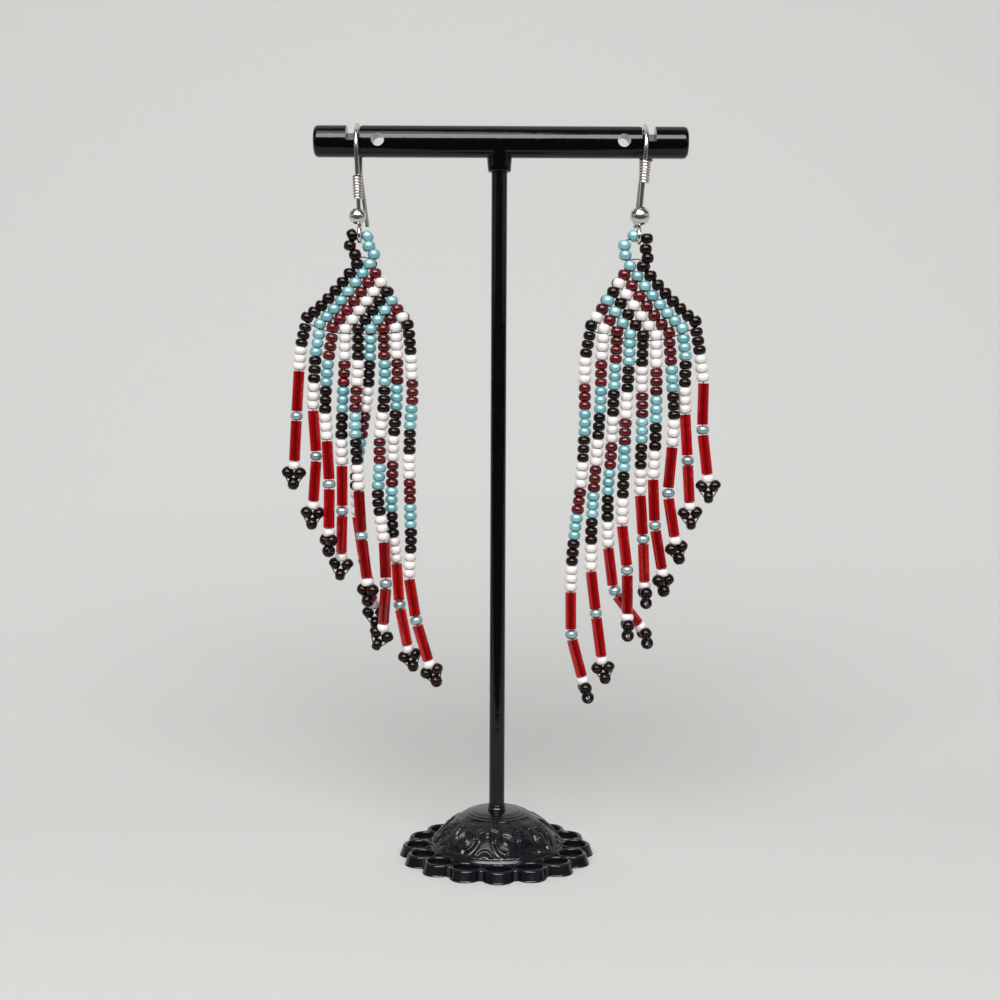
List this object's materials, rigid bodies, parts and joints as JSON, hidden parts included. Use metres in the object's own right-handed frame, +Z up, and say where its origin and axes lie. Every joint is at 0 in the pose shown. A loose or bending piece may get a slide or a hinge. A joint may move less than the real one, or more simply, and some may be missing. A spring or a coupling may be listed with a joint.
{
  "type": "beaded fringe earrings on a T-bar stand",
  "caption": "Fringe earrings: ear hooks carry woven bead yokes with strands of seed beads and bugles in stepped lengths, on a T-bar display stand with a domed, petal-rimmed foot.",
  "frame": {"origin": "centre of the base's flat underside, on the surface that the stand rests on", "axes": "+Z up the post, +X along the crossbar to the right earring as seen from the front, -Y to the front of the display"},
  "size_m": [0.079, 0.0354, 0.132],
  "materials": {
    "black_enamel": "gloss black enamel",
    "hook_silver": "bright silver plate",
    "seed_glass": "opaque and pearled seed beads in four colours",
    "bugle_glass": "transparent ruby glass, cut ends"
  },
  "bodies": {
    "root": {"stand_base": "black_enamel", "stand_post": "black_enamel", "stand_crossbar": "black_enamel", "left_ear_hook": "hook_silver", "left_hook_coil": "hook_silver", "left_hook_ball": "hook_silver", "left_bead_loop": "seed_glass", "left_beaded_yoke": "seed_glass", "left_strand_1": "seed_glass", "left_bugles_1": "bugle_glass", "left_strand_2": "seed_glass", "left_bugles_2": "bugle_glass", "left_strand_3": "seed_glass", "left_bugles_3": "bugle_glass", "left_strand_4": "seed_glass", "left_bugles_4": "bugle_glass", "left_strand_5": "seed_glass", "left_bugles_5": "bugle_glass", "left_strand_6": "seed_glass", "left_bugles_6": "bugle_glass", "left_strand_7": "seed_glass", "left_bugles_7": "bugle_glass", "left_strand_8": "seed_glass", "left_bugles_8": "bugle_glass", "left_strand_9": "seed_glass", "left_bugles_9": "bugle_glass", "right_ear_hook": "hook_silver", "right_hook_coil": "hook_silver", "right_hook_ball": "hook_silver", "right_bead_loop": "seed_glass", "right_beaded_yoke": "seed_glass", "right_strand_1": "seed_glass", "right_bugles_1": "bugle_glass", "right_strand_2": "seed_glass", "right_bugles_2": "bugle_glass", "right_strand_3": "seed_glass", "right_bugles_3": "bugle_glass", "right_strand_4": "seed_glass", "right_bugles_4": "bugle_glass", "right_strand_5": "seed_glass", "right_bugles_5": "bugle_glass", "right_strand_6": "seed_glass", "right_bugles_6": "bugle_glass", "right_strand_7": "seed_glass", "right_bugles_7": "bugle_glass", "right_strand_8": "seed_glass", "right_bugles_8": "bugle_glass", "right_strand_9": "seed_glass", "right_bugles_9": "bugle_glass"}
  },
  "joints": []
}
